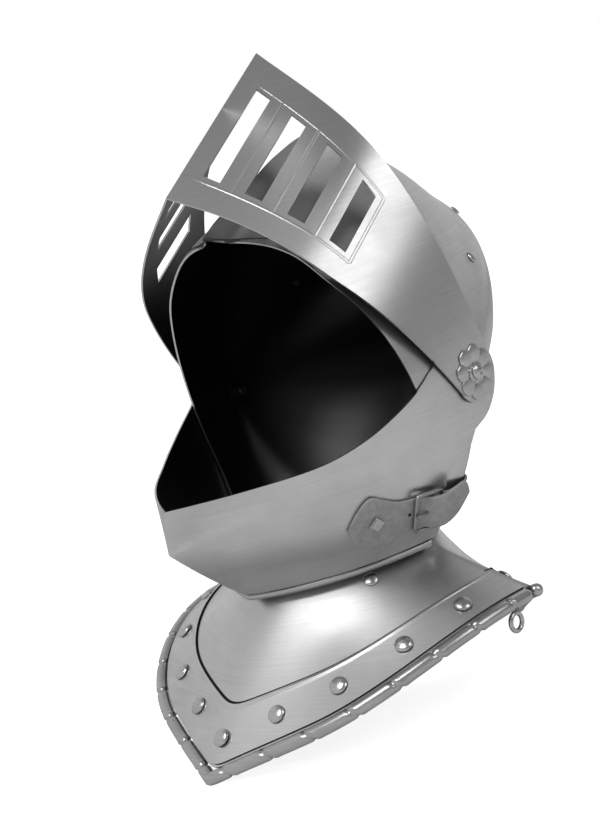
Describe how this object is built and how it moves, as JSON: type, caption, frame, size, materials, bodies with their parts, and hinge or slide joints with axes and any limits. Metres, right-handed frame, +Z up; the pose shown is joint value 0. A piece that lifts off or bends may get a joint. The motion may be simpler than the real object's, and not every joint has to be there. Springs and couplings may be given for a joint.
{
  "type": "armet",
  "caption": "Closed steel helmet with a pivoting barred visor, a hinged bevor fastened by a buckled strap, and a flared two-part gorget with a rolled rim.",
  "frame": {"origin": "centre of the bounding box at the level the helmet stands on", "axes": "+Z up, the face looks along -Y, the wearer's left is +X"},
  "size_m": [0.2548, 0.3095, 0.3803],
  "materials": {
    "steel": "satin brushed plate, painted black inside",
    "bright_steel": "polished rivets, rosettes and screws",
    "buckle_steel": "dull bent wire",
    "leather": "mid-grey undyed strap leather"
  },
  "bodies": {
    "skull": {"skull": "steel", "skull_rivets": "bright_steel", "pivot_screws": "bright_steel", "pivot_nuts": "bright_steel", "nut_washers": "bright_steel", "gorget_back_plate": "steel", "gorget_back_rim": "steel", "gorget_back_strip": "steel", "back_strip_rivets": "bright_steel", "buckle_frame": "buckle_steel", "rear_strap": "leather", "rear_strap_rivet": "bright_steel"},
    "bevor": {"bevor": "steel", "bevor_bead": "steel", "gorget_front_plate": "steel", "gorget_front_rim": "steel", "gorget_front_strip": "steel", "front_strip_rivets": "bright_steel", "front_neck_rivets": "bright_steel", "shoulder_loops": "bright_steel", "front_strap": "leather", "strap_rivet": "bright_steel"},
    "visor": {"visor": "steel", "rosette_left": "bright_steel", "rosette_right": "bright_steel"},
    "buckle_tongue": {"buckle_tongue": "buckle_steel"}
  },
  "joints": [
    {"name": "bevor_hinge", "type": "hinge", "parent": "skull", "child": "bevor", "pos_m": [0, 0.03025, 0.1774], "axis": [-1, 0, 0], "range_deg": [0, 40], "deforming": ["front_strap"]},
    {"name": "visor_hinge", "type": "hinge", "parent": "bevor", "child": "visor", "pos_m": [0, 0.03025, 0.1774], "axis": [1, 0, 0], "range_deg": [0, 63.5]},
    {"name": "tongue_hinge", "type": "hinge", "parent": "skull", "child": "buckle_tongue", "pos_m": [0.08769, -0.00958, 0.11096], "axis": [0.3677, 0.0076, 0.9299], "range_deg": [0, 100], "deforming": ["front_strap"]}
  ]
}
